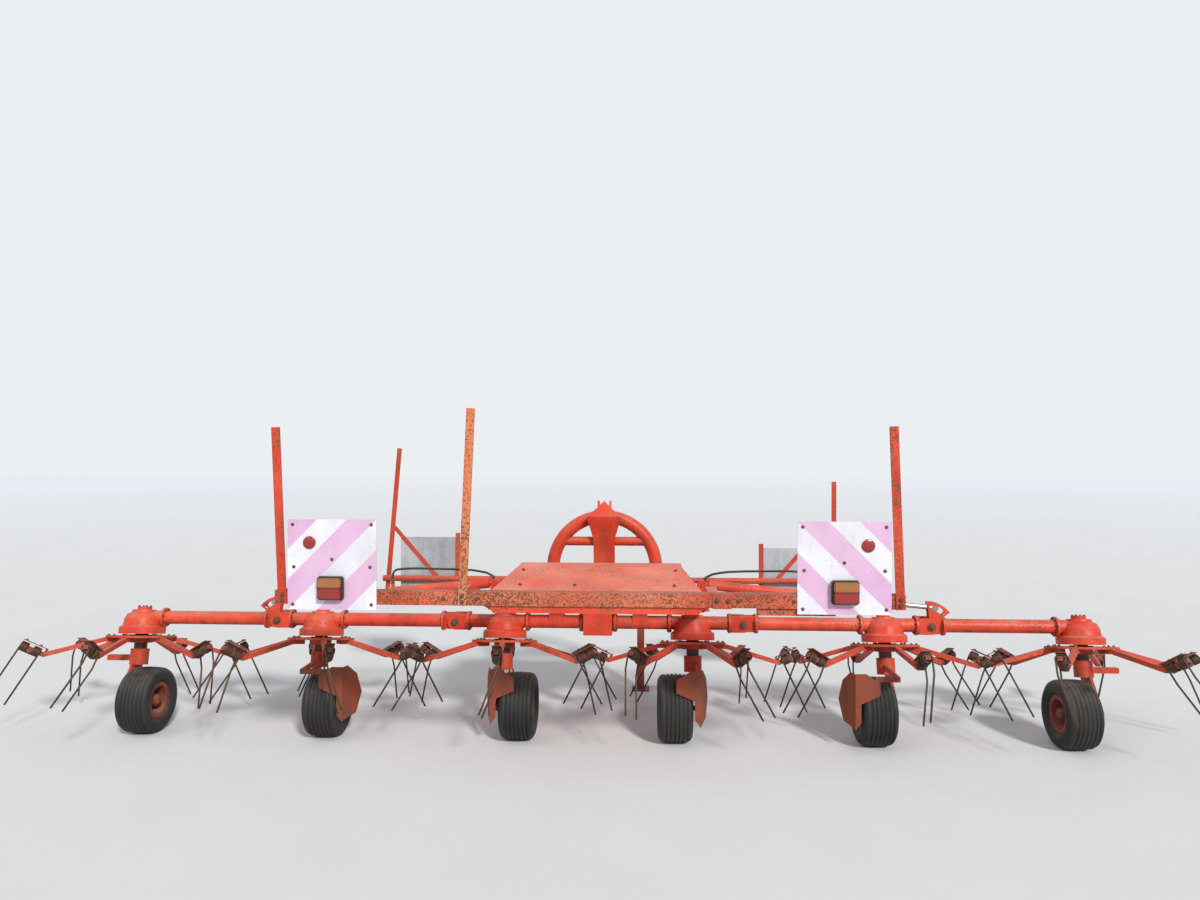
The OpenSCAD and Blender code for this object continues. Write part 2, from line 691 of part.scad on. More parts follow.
// Cross tube ahead of the crossbar with a post, an inner upright and a brace at each end
module board_rack() color(PAINT) at_line() {
    mirrored() translate([rack_stub_x, headstock_ahead + hitch_bar / 2, 0]) rotate([-90, 0, 0])
        translate([0, -rack_z, 0]) cylinder(h = rack_y - headstock_ahead - hitch_bar / 2, r = rack_r - 3);
    for (f = FRONT) translate([0, rack_y, rack_z])
        bar_x(f[0] * (rack_stub_x - rack_r), f[0] * (f[3] + 20), rack_r);
    for (f = FRONT) translate([0, rack_y + rack_r - 6, 0]) {
        low = rack_z + min(f[2], -30);
        translate([f[0] * f[3], 0, low]) rotate([0, -f[0] * f[5], 0]) translate([-board_bar / 2, 0, 0])
            cube([board_bar, 8, rack_z + f[4] - low]);
        translate([f[0] * (f[1] - board_side / 2 + 10) - board_bar / 2, 0, low])
            cube([board_bar, 8, rack_z + f[2] + board_side + 30 - low]);
        translate([f[0] * brace_x, 2, rack_z]) rotate([0, f[0] * brace_lean, 0])
            translate([-brace_w / 2, 0, 0]) cube([brace_w, 6, brace_l]);
    }
}
rack_stub_x = 380;
brace_lean = 41;
brace_x = 1190;
brace_w = 28;
brace_l = 480;

module front_boards() color(WHITE) at_line() for (f = FRONT)
    translate([f[0] * f[1] - board_side / 2, rack_y + rack_r + 2 + seat, rack_z + f[2]])
        cube([board_side, board_t, board_side]);

// Lift cylinder, drawn from its base pin towards the lever's pin
lift_tip = [outer_hinge + lever_out, beam_height + lever_h];
lift_l = norm([lift_tip[0] - lift_x, lift_tip[1] - lift_z]);
lift_dip = atan2(lift_z - lift_tip[1], lift_tip[0] - lift_x);
lift_eye = 20;

module at_lift(s) at_line() mirror([s < 0 ? 1 : 0, 0, 0])
    translate([lift_x, 0, lift_z]) rotate([0, lift_dip, 0]) children();

module lift_barrel(s) color(PAINT) at_lift(s) {
    pin_y(-17, 17, 24);
    pin_y(-30, hose_end_y, lift_pin_r);
    translate([0, hose_end_y, 0]) pin_y(-10, 10, 18);
    bar_x(12, 44, 15);
    difference() {
        bar_x(40, barrel_l, barrel_r);
        bar_x(120, barrel_l + 1, rod_r + run);
    }
    translate([barrel_l - 30, 0, barrel_r - 4]) cylinder(h = 20, r = 11);
}

module lift_rod(s) color([0.75, 0.76, 0.78]) at_lift(s) {
    bar_x(rod_rest, lift_l - 18, rod_r);
    translate([lift_l, 0, 0]) {
        pin_y(-lift_eye / 2, lift_eye / 2, 24);
        pin_y(-lift_pin_half, lift_pin_half, lift_pin_r);
    }
}
rod_rest = 590;

// Hose route in the cylinder's frame, from the barrel's port to the swivel on the base pin
HOSE = [
    [630, 0, 45.2], [630, 0, 75], [626, 2, 105], [616, 6, 122], [600, 10, 130], [550, 14, 130], [500, 18, 127],
    [450, 22, 122], [400, 26, 116], [350, 30, 110], [300, 34, 104], [250, 38, 98], [200, 41, 91],
    [150, 43, 84], [100, 44, 72], [60, 45, 60], [27, 45, 40.2], [18, 45, 27], [10.3, 45, 15.4]
];
hose_r = 7;
hose_end_y = 45;
hose_sides = 8;

function along(p, k) = unit(p[min(k + 1, len(p) - 1)] - p[max(k - 1, 0)]);
function ring(c, t) = let (u = unit(cross(t, abs(t[1]) < 0.9 ? [0, 1, 0] : [1, 0, 0])), v = cross(t, u))
    [for (k = [0:hose_sides - 1]) let (a = k * 360 / hose_sides) c + hose_r * (cos(a) * u + sin(a) * v)];

module lift_hose(s) color(BLACK) at_lift(s) {
    n = len(HOSE);
    m = hose_sides;
    rings = [for (k = [0:n - 1]) each ring(HOSE[k], along(HOSE, k))];
    polyhedron(rings, concat(
        [[for (a = [0:m - 1]) a]],
        [for (k = [0:n - 2], a = [0:m - 1]) let (b = (a + 1) % m)
            [k * m + a, (k + 1) * m + a, (k + 1) * m + b, k * m + b]],
        [[for (a = [m - 1:-1:0]) (n - 1) * m + a]]
    ));
}

centre_frame();
headstock();
centre_beam();
hood();
guard_bar();
rear_posts();
rear_boards();
tail_lamps();
board_rack();
front_boards();
parking_leg();
inner_beam(-1);  // inner_beam_left
inner_beam(1);  // inner_beam_right
outer_beam(-1);  // outer_beam_left
outer_beam(1);  // outer_beam_right
lift_barrel(-1);  // lift_barrel_left
lift_barrel(1);  // lift_barrel_right
lift_rod(-1);  // lift_rod_left
lift_rod(1);  // lift_rod_right
lift_hose(-1);  // lift_hose_left
lift_hose(1);  // lift_hose_right
for (i = [1:6]) {
    rotor(i);
    tines(i);
    fork(i);
    rim(i);
    tyre(i);
}
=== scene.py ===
"""Looks of a six-rotor mounted hay tedder: finishes, springs, tread, bolts, lamps, hoses and a studio."""

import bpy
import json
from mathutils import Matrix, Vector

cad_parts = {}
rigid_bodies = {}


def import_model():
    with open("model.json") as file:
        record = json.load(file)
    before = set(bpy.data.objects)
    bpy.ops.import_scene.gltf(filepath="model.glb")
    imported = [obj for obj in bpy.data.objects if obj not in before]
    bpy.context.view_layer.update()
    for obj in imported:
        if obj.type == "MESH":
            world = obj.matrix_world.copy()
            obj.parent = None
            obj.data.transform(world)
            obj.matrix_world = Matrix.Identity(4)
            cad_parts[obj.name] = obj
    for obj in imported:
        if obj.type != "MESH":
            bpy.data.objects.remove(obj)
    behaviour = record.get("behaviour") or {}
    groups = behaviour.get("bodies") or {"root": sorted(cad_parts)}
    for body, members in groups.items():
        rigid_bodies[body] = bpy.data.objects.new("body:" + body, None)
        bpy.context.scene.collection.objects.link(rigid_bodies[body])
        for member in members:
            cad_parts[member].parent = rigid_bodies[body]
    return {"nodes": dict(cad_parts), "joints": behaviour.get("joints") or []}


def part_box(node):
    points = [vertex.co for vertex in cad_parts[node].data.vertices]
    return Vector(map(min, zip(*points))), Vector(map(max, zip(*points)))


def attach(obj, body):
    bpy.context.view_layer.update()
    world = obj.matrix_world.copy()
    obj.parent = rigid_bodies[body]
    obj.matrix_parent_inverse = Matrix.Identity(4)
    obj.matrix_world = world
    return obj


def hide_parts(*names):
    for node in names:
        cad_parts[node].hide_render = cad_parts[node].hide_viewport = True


bl_info = {
    "name": "Hay tedder",
    "version": (1, 0, 0),
    "blender": (4, 5, 0),
    "location": "3D View > Sidebar > Tedder",
    "description": "Dresses the packed hay tedder with its materials, small parts and studio",
    "category": "Object",
}

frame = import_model()

import json
import math

import bmesh
import bpy
from bpy.props import FloatProperty, FloatVectorProperty, IntProperty, PointerProperty
from mathutils import Matrix, Vector

JOINTS = {joint["name"]: joint for joint in frame["joints"]}
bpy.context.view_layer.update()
ROTORS = range(1, 7)
INNER_WHEELS = range(2, 6)
SIDES = {"left": -1, "right": 1}

# Places shared with the construction, in metres and degrees, from the rotor line
LINE_X = (JOINTS["spin_3"]["pos_m"][0] + JOINTS["spin_4"]["pos_m"][0]) / 2
LINE_Y = JOINTS["spin_3"]["pos_m"][1]
BEAM_Z = JOINTS["spin_3"]["pos_m"][2]
LEAN = math.degrees(math.atan2(JOINTS["spin_3"]["axis"][1], JOINTS["spin_3"]["axis"][2]))
INNER_HINGE = JOINTS["fold_right"]["pos_m"][0] - LINE_X
OUTER_HINGE = JOINTS["follow_ground_right"]["pos_m"][0] - LINE_X
ARMS = 6
LEAD_PHASE = 35.0
BEND_R, BEND_DROP, END_RISE = 0.500, 0.224, 25.0
COIL_AT, COIL_GAP, COIL_L, COIL_R = 0.077, 0.024, 0.046, 0.029
LEG_L, OUTER_LEG_L, LEG_LAG = 0.325, 0.345, 15.0
COVER_TOP = 0.038
HOOD_RUN, HOOD_RISE = 0.400, 0.083
BEAMS = ("centre_beam", "inner_beam_left", "inner_beam_right", "outer_beam_left", "outer_beam_right")
COLUMN_BARE = 0.135
GUARD_CLAMPS = (0.634,)
GUARD_BOLTS = (-0.660, -0.500, 0.710, 0.960)
POST_FEET = (-1.422, -0.570, 1.438)
# Columns: share of the way up the hood's slope, place along X
HOOD_BOLTS = ((0.22, -0.450), (0.22, -0.130), (0.22, 0.450), (0.84, -0.465), (0.84, 0.465))
CASE_R, DISC_TOP, CASE_TOP = 0.130, -0.112, 0.062
FLANGE_T, HINGE_REACH = 0.014, 0.070
FLANGE_BEHIND_CASE = 0.008
GUARD_BAR = 0.064
HOOD_REAR = -0.250
HUB_REACH = 0.062
LAMP_HALF_W = 0.061
# Sideways knee of a tine's leg, below its coil
KNEE = 0.011
STRIPE = 0.141
# Bolts of a board, as distances in from its outer edge and up from its lower edge
BOARD_BOLTS = (
    (0.024, 0.024), (0.399, 0.024), (0.024, 0.399), (0.399, 0.399),
    (0.030, 0.200), (0.393, 0.200), (0.212, 0.236),
)
# Hose route in a lift cylinder's own frame, in millimetres: along it, towards the front and up
HOSE = [
    (630, 0, 45.2), (630, 0, 75), (626, 2, 105), (616, 6, 122), (600, 10, 130), (550, 14, 130),
    (500, 18, 127), (450, 22, 122), (400, 26, 116), (350, 30, 110), (300, 34, 104), (250, 38, 98),
    (200, 41, 91), (150, 43, 84), (100, 44, 72), (60, 45, 60), (27, 45, 40.2), (18, 45, 27),
    (10.3, 45, 15.4),
]
# Tilt below level and turn to the left, in degrees
CAMERA_DIP, CAMERA_YAW = 0.33, 3

RUST = (0.170, 0.062, 0.028, 1)
# Dark colour of the dirt streaks and of the painted shade on faces that point down; in rubber it is also the
# colour of chips.
SOIL_AND_SHADE = (0.050, 0.036, 0.026, 1)
DUST = (0.42, 0.36, 0.29, 1)
GREYED = (0.66, 0.64, 0.70, 1)
PALE_STRIPE = (0.66, 0.43, 0.59, 1)
PAINT_SHINE = 0.32


def beam_body(i):
    """Body that carries rotor i."""
    return JOINTS[f"spin_{i}"]["parent"]


def spin(i):
    """Turning sense of rotor i, seen from above: 1 is anticlockwise."""
    return 1 if i % 2 else -1


def phase(i):
    return LEAD_PHASE if i % 2 else 180.0 / ARMS - LEAD_PHASE


def turn(axis, degrees):
    return Matrix.Rotation(math.radians(degrees), 4, axis)


def rotor_matrix(i):
    return Matrix.Translation(JOINTS[f"spin_{i}"]["pos_m"]) @ turn("X", -LEAN)


def arm_matrices(i):
    """Frames of rotor i's arms, with +X outward."""
    return [rotor_matrix(i) @ turn("Z", phase(i) + k * 360 / ARMS) for k in range(ARMS)]


def arm_end(arm):
    """Frame of an arm's rising end, with +X along it."""
    return arm @ Matrix.Translation((BEND_R, 0, -BEND_DROP)) @ turn("Y", -END_RISE)


class Mould:
    """Collects shapes for one mesh. Each shape is added in its own frame with a material's number."""

    def __init__(self):
        self.bm = bmesh.new()

    def grid(self, rings, matrix, material=0, closed=True, caps=True, smooth=True):
        """Joins rings of points with quads; closed joins each ring's ends."""
        rows = [[self.bm.verts.new(matrix @ Vector(p)) for p in ring] for ring in rings]
        n = len(rows[0])
        for a, b in zip(rows, rows[1:]):
            for k in range(n if closed else n - 1):
                face = self.bm.faces.new((a[k], a[(k + 1) % n], b[(k + 1) % n], b[k]))
                face.material_index = material
                face.smooth = smooth
        if caps:
            for ring in (rows[0][::-1], rows[-1]):
                self.bm.faces.new(ring).material_index = material

    def lathe(self, profile, matrix, material=0, sides=32, smooth=True):
        """Turns (radius, height) points about Z."""
        step = 2 * math.pi / sides
        rings = [
            [(r * math.cos(k * step), r * math.sin(k * step), z) for k in range(sides)]
            for r, z in profile
        ]
        self.grid(rings, matrix, material, smooth=smooth)

    def ring(self, profile, matrix, material=0, sides=64):
        """Turns a closed (radius, height) outline about Z, with no caps."""
        step = 2 * math.pi / sides
        rings = [
            [(r * math.cos(k * step), r * math.sin(k * step), z) for r, z in profile]
            for k in range(sides)
        ]
        self.grid(rings + rings[:1], matrix, material, caps=False)

    def tube(self, points, radius, matrix, material=0, sides=8):
        """Sweeps a round section along points."""
        points = [Vector(p) for p in points]
        rings = []
        normal = None
        for k, p in enumerate(points):
            along = (points[min(k + 1, len(points) - 1)] - points[max(k - 1, 0)]).normalized()
            if normal is None:
                normal = along.orthogonal().normalized()
            normal = (normal - along * normal.dot(along)).normalized()
            across = along.cross(normal)
            rings.append([
                p + radius * (math.cos(a) * normal + math.sin(a) * across)
                for a in (2 * math.pi * s / sides for s in range(sides))
            ])
        self.grid(rings, matrix, material)

    def box(self, low, high, matrix, material=0, bevel=0.0015):
        """Box with chamfered edges."""
        made = bmesh.ops.create_cube(self.bm, size=1.0)
        size = [b - a for a, b in zip(low, high)]
        centre = Vector([(a + b) / 2 for a, b in zip(low, high)])
        place = matrix @ Matrix.Translation(centre) @ Matrix.Diagonal((*size, 1))
        bmesh.ops.transform(self.bm, matrix=place, verts=made["verts"])
        faces = {f for v in made["verts"] for f in v.link_faces}
        edges = list({e for f in faces for e in f.edges})
        for f in faces:
            f.material_index = material
        bmesh.ops.bevel(self.bm, geom=edges, offset=bevel, segments=2, affect="EDGES", material=-1)

    def bolt(self, matrix, size=0.008, material=0):
        """Hexagon head with a washer, standing on z = 0 and sunk a little so that it meets its seat."""
        washer = [(size * 1.35, -0.0005), (size * 1.35, size * 0.2)]
        head = [(size, size * 0.2), (size, size * 0.75), (size * 0.82, size * 0.9)]
        end = [(size * 0.5, size * 0.9), (size * 0.5, size * 1.25)]
        for profile, sides in ((washer, 20), (head, 6), (end, 12)):
            self.lathe(profile, matrix, material, sides, smooth=False)

    def finish(self, name, materials, body, replaces=()):
        """Turns what was collected into an object that rides on a body."""
        bmesh.ops.recalc_face_normals(self.bm, faces=self.bm.faces)
        mesh = bpy.data.meshes.new(name)
        self.bm.to_mesh(mesh)
        self.bm.free()
        piece = bpy.data.objects.new(name, mesh)
        bpy.context.scene.collection.objects.link(piece)
        for material in materials:
            mesh.materials.append(bpy.data.materials[material])
        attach(piece, body)
        if replaces:
            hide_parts(*replaces)
        return piece


def add_node(tree, kind, inputs=None, **settings):
    """Adds a shader node; an input's value is a number, a colour or another node's output."""
    made = tree.nodes.new(kind)
    for key, value in settings.items():
        setattr(made, key, value)
    for key, value in (inputs or {}).items():
        if isinstance(value, bpy.types.NodeSocket):
            tree.links.new(value, made.inputs[key])
        else:
            made.inputs[key].default_value = value
    return made


def noise(tree, vector, scale, detail=4.0, roughness=0.55):
    made = add_node(tree, "ShaderNodeTexNoise", {"Scale": scale, "Detail": detail, "Roughness": roughness})
    tree.links.new(vector, made.inputs["Vector"])
    return made.outputs["Fac"]


def span(tree, value, low, high, to_low=0.0, to_high=1.0):
    """Maps low..high to to_low..to_high, clamped."""
    return add_node(tree, "ShaderNodeMapRange", {
        "Value": value, "From Min": low, "From Max": high, "To Min": to_low, "To Max": to_high,
    }).outputs["Result"]


def maths(tree, operation, a, b=0.0):
    return add_node(tree, "ShaderNodeMath", {0: a, 1: b}, operation=operation).outputs[0]


def mix(tree, share, a, b):
    """Colour a to colour b by share."""
    made = add_node(tree, "ShaderNodeMix", data_type="RGBA")
    for socket, value in (("Factor_Float", share), ("A_Color", a), ("B_Color", b)):
        target = next(s for s in made.inputs if s.identifier == socket)
        if isinstance(value, bpy.types.NodeSocket):
            tree.links.new(value, target)
        else:
            target.default_value = value
    return next(s for s in made.outputs if s.identifier == "Result_Color")


def weathering_group():
    """Masks of wear: Fade is broad, Chips are small bare spots, the dark mask is dirt streaks with painted
    shade on faces that point down, Dust lies on upper faces.
    """
    group = bpy.data.node_groups.new("Weathering", "ShaderNodeTree")
    for name, value in (("Chipping", 0.5), ("Dustiness", 0.5), ("DirtAndShade", 0.5)):
        socket = group.interface.new_socket(name, in_out="INPUT", socket_type="NodeSocketFloat")
        socket.default_value = value
    for name in ("Fade", "Chips", "GrimeAndUndersideShade", "Dust", "Height"):
        group.interface.new_socket(name, in_out="OUTPUT", socket_type="NodeSocketFloat")
    source = add_node(group, "NodeGroupInput").outputs
    place = add_node(group, "ShaderNodeTexCoord").outputs["Object"]
    normal = add_node(group, "ShaderNodeNewGeometry").outputs["Normal"]
    up = add_node(group, "ShaderNodeSeparateXYZ", {0: normal}).outputs[2]

    fade = span(group, noise(group, place, 3.2, 5), 0.38, 0.66)
    spots = noise(group, place, 135.0, 6, 0.62)
    zones = span(group, noise(group, place, 5.5, 3), 0.42, 0.62)
    limit = maths(group, "SUBTRACT", 0.72, maths(group, "MULTIPLY", source["Chipping"], 0.2))
    limit = maths(group, "SUBTRACT", limit, maths(group, "MULTIPLY", zones, 0.07))
    chips = add_node(group, "ShaderNodeMapRange", {
        "Value": spots, "From Min": limit, "From Max": maths(group, "ADD", limit, 0.03),
    }).outputs["Result"]
    streaks = add_node(group, "ShaderNodeMapping", {"Vector": place, "Scale": (1.0, 1.0, 0.22)}).outputs[0]
    grime_and_underside_shade = span(group, noise(group, streaks, 16.0, 6, 0.6), 0.46, 0.72)
    # Painted shade: the dark mask grows on faces that point down, where shade falls.
    below = span(group, up, 0.3, -0.7, 0.25, 1.0)
    grime_and_underside_shade = maths(group, "MULTIPLY", maths(group, "MULTIPLY", grime_and_underside_shade, below), source["DirtAndShade"])
    above = span(group, up, 0.35, 0.95)
    dust = maths(group, "MULTIPLY", above, span(group, noise(group, place, 11.0, 6), 0.35, 0.68))
    dust = maths(group, "MULTIPLY", dust, source["Dustiness"])
    fine = noise(group, place, 130.0, 3)
    grain = maths(group, "MULTIPLY", fine, 0.25)
    height = maths(group, "SUBTRACT", grain, maths(group, "MULTIPLY", chips, 0.6))

    out = add_node(group, "NodeGroupOutput")
    masks = {"Fade": fade, "Chips": chips, "GrimeAndUndersideShade": grime_and_underside_shade, "Dust": dust, "Height": height}
    for name, value in masks.items():
        group.links.new(value, out.inputs[name])
    return group


def new_material(name):
    """Empty node material: returns its tree and its Principled shader."""
    material = bpy.data.materials.new(name)
    material.use_nodes = True
    tree = material.node_tree
    return tree, tree.nodes["Principled BSDF"]


def wear(tree, chipping, dustiness, dirt_and_shade):
    made = add_node(tree, "ShaderNodeGroup", node_tree=bpy.data.node_groups["Weathering"])
    for key, value in (("Chipping", chipping), ("Dustiness", dustiness), ("DirtAndShade", dirt_and_shade)):
        made.inputs[key].default_value = value
    return made.outputs


def set_bump(tree, shader, height, strength, distance):
    bump = add_node(tree, "ShaderNodeBump", {"Strength": strength, "Distance": distance, "Height": height})
    tree.links.new(bump.outputs["Normal"], shader.inputs["Normal"])


def weathered(name, fresh, faded, chip=RUST, wear_values=(0.5, 0.5, 0.5), roughness=(0.42, 0.75), bump=0.35,
              metal=0.0):
    """A worn coat: fresh to faded colour, bare chips, dark dirt with painted shade on faces that point down,
    and pale dust.

    wear_values are chipping, dustiness and the strength of the dirt with its painted underside shade;
    roughness is for clean and for worn places.
    """
    tree, shader = new_material(name)
    masks = wear(tree, *wear_values)
    colour = mix(tree, masks["Fade"], fresh, faded)
    colour = mix(tree, masks["Chips"], colour, chip)
    # Dark soil colour on the dirt streaks and as painted shade on undersides.
    colour = mix(tree, masks["GrimeAndUndersideShade"], colour, SOIL_AND_SHADE)
    colour = mix(tree, masks["Dust"], colour, DUST)
    tree.links.new(colour, shader.inputs["Base Color"])
    rough = maths(tree, "MAXIMUM", masks["Dust"], maths(tree, "MAXIMUM", masks["Chips"], masks["GrimeAndUndersideShade"]))
    tree.links.new(span(tree, rough, 0, 1, *roughness), shader.inputs["Roughness"])
    shader.inputs["Metallic"].default_value = metal
    shader.inputs["Specular IOR Level"].default_value = PAINT_SHINE
    set_bump(tree, shader, masks["Height"], bump, 0.002)
    return tree, shader


def rgba(colour):
    return (*colour, 1.0)


def board_stripes(name, stripe, ground, side, low):
    """White sheet with stripes that fall away from the machine's middle, mirrored left to right."""
    tree, shader = new_material(name)
    masks = wear(tree, 0.15, 0.25, 0.5)
    own = add_node(tree, "ShaderNodeTexCoord").outputs["Object"]
    place = add_node(tree, "ShaderNodeSeparateXYZ", {0: own}).outputs
    across = maths(tree, "ABSOLUTE", maths(tree, "SUBTRACT", place[0], LINE_X))
    along = maths(tree, "ADD", across, maths(tree, "SUBTRACT", place[2], low))
    along = maths(tree, "SUBTRACT", along, side)
    band = maths(tree, "PINGPONG", maths(tree, "ADD", along, -STRIPE / 2), STRIPE)
    soft_edge = 0.0006
    striped = span(tree, band, STRIPE / 2 - soft_edge, STRIPE / 2 + soft_edge)
    ground = mix(tree, masks["Fade"], ground, GREYED)
    stripe = mix(tree, masks["Fade"], stripe, PALE_STRIPE)
    colour = mix(tree, striped, ground, stripe)
    # Dirt streaks, with painted shade on faces that point down.
    colour = mix(tree, masks["GrimeAndUndersideShade"], colour, (0.32, 0.27, 0.24, 1))
    colour = mix(tree, masks["Chips"], colour, (0.28, 0.16, 0.10, 1))
    tree.links.new(colour, shader.inputs["Base Color"])
    tree.links.new(span(tree, masks["GrimeAndUndersideShade"], 0, 1, 0.38, 0.7), shader.inputs["Roughness"])
    set_bump(tree, shader, masks["Height"], 0.12, 0.001)


class TEDDER_PG_colours(bpy.types.PropertyGroup):
    paint: FloatVectorProperty(name="Paint", description="Fresh red paint", subtype="COLOR",
                               default=(0.60, 0.034, 0.011), min=0, max=1)
    faded: FloatVectorProperty(name="Faded paint", description="Paint bleached by the sun", subtype="COLOR",
                               default=(0.68, 0.085, 0.036), min=0, max=1)
    stripe: FloatVectorProperty(name="Board stripe", description="Stripes of the rear boards",
                                subtype="COLOR", default=(0.62, 0.36, 0.55), min=0, max=1)
    board: FloatVectorProperty(name="Board", description="White of the rear boards", subtype="COLOR",
                               default=(0.76, 0.75, 0.785), min=0, max=1)


class TEDDER_PG_sizes(bpy.types.PropertyGroup):
    wire: FloatProperty(name="Tine wire", description="Radius of the tine wire", default=0.0051,
                        min=0.003, max=0.006, unit="LENGTH")
    turns: IntProperty(name="Coil turns", description="Whole turns in each coil", default=4, min=3, max=6)
    grooves: IntProperty(name="Tyre grooves", description="Grooves round each tyre", default=6, min=4, max=12)
    groove_depth: FloatProperty(name="Groove depth", description="Depth of the tyre grooves", default=0.007,
                                min=0.003, max=0.010, unit="LENGTH")
    hose: FloatProperty(name="Hose", description="Radius of the lift hoses", default=0.007,
                        min=0.005, max=0.010, unit="LENGTH")


class TEDDER_PG_studio(bpy.types.PropertyGroup):
    camera_height: FloatProperty(name="Camera height", description="Height of the eye", default=1.70,
                                 unit="LENGTH")
    camera_back: FloatProperty(name="Camera distance", description="Distance back from the rotor line",
                               default=5.192, unit="LENGTH")
    camera_side: FloatProperty(name="Camera side", description="Sideways place of the eye", default=0.282,
                               unit="LENGTH")
    lens: FloatProperty(name="Lens", description="Focal length on a 36 mm sensor", default=25.98)


class TEDDER_OT_finishes(bpy.types.Operator):
    """Make every material and give each construction node its own"""

    bl_idname = "tedder.finishes"
    bl_label = "Finishes"

    def execute(self, context):
        colours = context.scene.tedder_colours
        paint, faded = rgba(colours.paint), rgba(colours.faded)
        weathering_group()
        weathered("paint", paint, faded, wear_values=(0.55, 0.40, 0.75))
        # Painted sheen: a paler, brighter copy of the red stands for the sun's glare on the hood's slope,
        # beside its real fading.
        weathered("hood_paint_painted_glare", (0.72, 0.085, 0.034, 1), (0.80, 0.20, 0.11, 1),
                  wear_values=(0.55, 0.30, 0.45))
        weathered("worn_paint", (0.30, 0.036, 0.018, 1), (0.20, 0.055, 0.028, 1),
                  wear_values=(0.85, 0.35, 0.9), roughness=(0.6, 0.85))
        weathered("post_paint", (0.54, 0.038, 0.014, 1), (0.60, 0.085, 0.036, 1),
                  wear_values=(0.75, 0.30, 0.7), roughness=(0.5, 0.82))
        # Near-black steel for the columns under the beams: real grease together with painted shade, as the
        # columns stand in the beam's shade.
        weathered("greasy_steel_painted_shade", (0.035, 0.022, 0.018, 1), (0.13, 0.030, 0.018, 1),
                  wear_values=(0.5, 0.15, 0.9), roughness=(0.35, 0.75))
        weathered("orange_paint", (0.60, 0.150, 0.050, 1), (0.62, 0.230, 0.110, 1),
                  wear_values=(0.75, 0.2, 0.5), roughness=(0.5, 0.82))
        weathered("speckled_paint", (0.54, 0.080, 0.034, 1), (0.58, 0.160, 0.085, 1),
                  wear_values=(0.95, 0.3, 0.7), roughness=(0.6, 0.88), bump=0.5)
        weathered("rusty_plate", (0.30, 0.044, 0.019, 1), (0.21, 0.060, 0.030, 1),
                  wear_values=(0.9, 0.25, 0.6), roughness=(0.65, 0.88), bump=0.6)
        weathered("spring_steel", (0.045, 0.028, 0.020, 1), (0.085, 0.045, 0.028, 1),
                  wear_values=(0.6, 0.1, 0.5), roughness=(0.45, 0.8), metal=0.35)
        weathered("bolt_steel", (0.13, 0.085, 0.06, 1), (0.20, 0.10, 0.06, 1),
                  wear_values=(0.6, 0.3, 0.6), roughness=(0.4, 0.8), metal=0.5)
        weathered("rubber", (0.011, 0.011, 0.012, 1), (0.026, 0.024, 0.021, 1), SOIL_AND_SHADE, (0.1, 0.22, 0.5),
                  roughness=(0.62, 0.9), bump=0.25)
        weathered("hose_rubber", (0.012, 0.012, 0.012, 1), (0.03, 0.03, 0.03, 1), SOIL_AND_SHADE, (0.1, 0.3, 0.3),
                  roughness=(0.4, 0.8))
        weathered("plated", (0.55, 0.55, 0.57, 1), (0.35, 0.33, 0.31, 1),
                  wear_values=(0.3, 0.2, 0.5), roughness=(0.22, 0.6), metal=0.9)
        weathered("pale_sheet", (0.50, 0.52, 0.53, 1), (0.36, 0.38, 0.40, 1),
                  wear_values=(0.35, 0.3, 0.5), roughness=(0.4, 0.7), metal=0.25)
        weathered("black_case", (0.02, 0.02, 0.02, 1), (0.04, 0.035, 0.03, 1), SOIL_AND_SHADE, (0.1, 0.5, 0.3))
        low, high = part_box("rear_boards")
        inner_edge = high.x - LINE_X - 3 * STRIPE
        board_stripes("boards", rgba(colours.stripe), rgba(colours.board), inner_edge, low.z)
        lens_material("amber_lens", (0.42, 0.15, 0.03, 1))
        lens_material("red_lens", (0.34, 0.012, 0.01, 1))
        for name, node in frame["nodes"].items():
            node.data.materials.clear()
            node.data.materials.append(bpy.data.materials[finish_of(name)])
            smooth_by_angle(node)
        for i in ROTORS:
            second_finish(frame["nodes"][f"rotor_{i}"], "rusty_plate", arm_end_test(i))
        # Columns below the rotor cases get the near-black grease and painted shade.
        for name in BEAMS:
            second_finish(frame["nodes"][name], "greasy_steel_painted_shade", lambda p: p.z < BEAM_Z - COLUMN_BARE)
        for i in INNER_WHEELS:
            second_finish(frame["nodes"][f"fork_{i}"], "rusty_plate", wheel_plate_test(i))
        back = high.y - 0.001
        second_finish(frame["nodes"]["rear_boards"], "pale_sheet", lambda p: p.y > back)
        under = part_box("guard_bar")[1].z - GUARD_BAR - 0.002
        second_finish(frame["nodes"]["guard_bar"], "paint", lambda p: p.z < under and p.x < LINE_X + 0.6)
        second_finish(frame["nodes"]["rear_posts"], "orange_paint", lambda p: abs(p.x - LINE_X) < 1)
        return {"FINISHED"}


def second_finish(piece, material, chosen):
    """Gives a second material to the faces whose middle is chosen."""
    piece.data.materials.append(bpy.data.materials[material])
    for face in piece.data.polygons:
        if chosen(face.center):
            face.material_index = 1


def arm_end_test(i):
    """Test of a point: true on the raised ends of rotor i's arms."""
    to_rotor = rotor_matrix(i).inverted()
    return lambda point: (to_rotor @ point).xy.length > BEND_R - 0.012


def wheel_plate_test(i):
    """Test of a point: true on the sheet behind and beside an inner wheel."""
    low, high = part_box(f"tyre_{i}")
    back = low.y + 0.035
    past_wall, behind_column = 0.034, 0.06
    column_y = JOINTS[f"steer_{i}"]["pos_m"][1]

    def chosen(point):
        beside = point.x < low.x - past_wall if i in (3, 5) else point.x > high.x + past_wall
        return point.y < back or (beside and point.y < column_y - behind_column)

    return chosen


